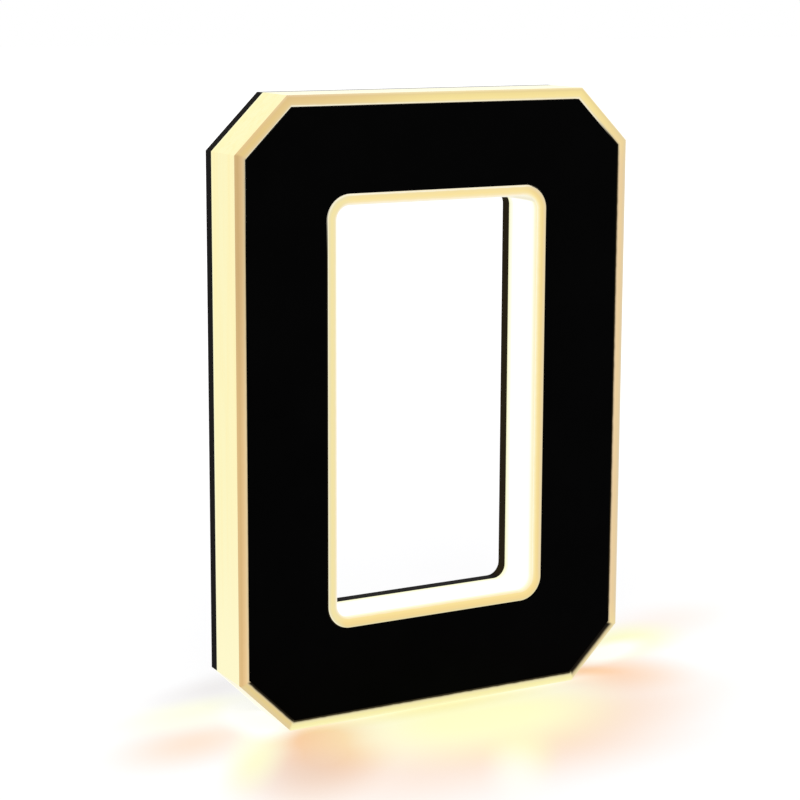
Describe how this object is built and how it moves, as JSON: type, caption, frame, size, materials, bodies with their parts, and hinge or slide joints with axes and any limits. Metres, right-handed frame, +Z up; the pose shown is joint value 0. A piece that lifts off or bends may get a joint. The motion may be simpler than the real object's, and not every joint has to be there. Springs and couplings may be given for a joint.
{
  "type": "illuminated house number sign",
  "caption": "Free-standing lit house number, a digit zero with a black face, a glowing opal edge all round and a black back plate with a power inlet.",
  "frame": {"origin": "middle of the bottom edge, on the surface that the sign stands on", "axes": "+Z up, +X to the reader's right, the face looks along -Y and the back along +Y"},
  "size_m": [0.141, 0.022, 0.2],
  "materials": {
    "opal_acrylic": "satin opal, glowing warm white from inside",
    "black_acrylic": "polished black sheet",
    "black_back": "satin black sheet with a fine grain",
    "bond_film": "clear adhesive film",
    "silicone": "soft grey silicone",
    "stainless": "turned stainless steel",
    "brass": "turned brass",
    "board_white": "white solder mask",
    "board_tape": "matt double-sided tape",
    "led_chip": "yellow phosphor in a white case",
    "resistor_black": "dark glaze",
    "connector_white": "moulded nylon",
    "wire_red": "red insulation",
    "wire_black": "black insulation",
    "inlet_black": "moulded black plastic",
    "inlet_nickel": "nickel plate",
    "washer_rubber": "black rubber"
  },
  "bodies": {
    "root": {"light_body": "opal_acrylic", "face_plate": "black_acrylic", "face_bond": "bond_film", "back_plate": "black_back", "outer_seal": "silicone", "inner_seal": "silicone", "back_screws": "stainless", "body_inserts": "brass", "mount_inserts": "brass", "board_tape_left": "board_tape", "board_left": "board_white", "leds_left": "led_chip", "resistors_left": "resistor_black", "board_tape_right": "board_tape", "board_right": "board_white", "leds_right": "led_chip", "resistors_right": "resistor_black", "board_tape_top": "board_tape", "board_top": "board_white", "leds_top": "led_chip", "resistors_top": "resistor_black", "board_tape_bottom_left": "board_tape", "board_bottom_left": "board_white", "leds_bottom_left": "led_chip", "resistors_bottom_left": "resistor_black", "board_tape_bottom_right": "board_tape", "board_bottom_right": "board_white", "leds_bottom_right": "led_chip", "resistors_bottom_right": "resistor_black", "wire_connectors": "connector_white", "link_wires_red": "wire_red", "link_wires_black": "wire_black", "inlet_housing": "inlet_black", "inlet_washer": "washer_rubber", "inlet_nut": "inlet_nickel", "inlet_insulator": "inlet_black", "inlet_pin": "inlet_nickel", "inlet_spring": "inlet_nickel", "feed_wire_red": "wire_red", "feed_wire_black": "wire_black"}
  },
  "joints": []
}
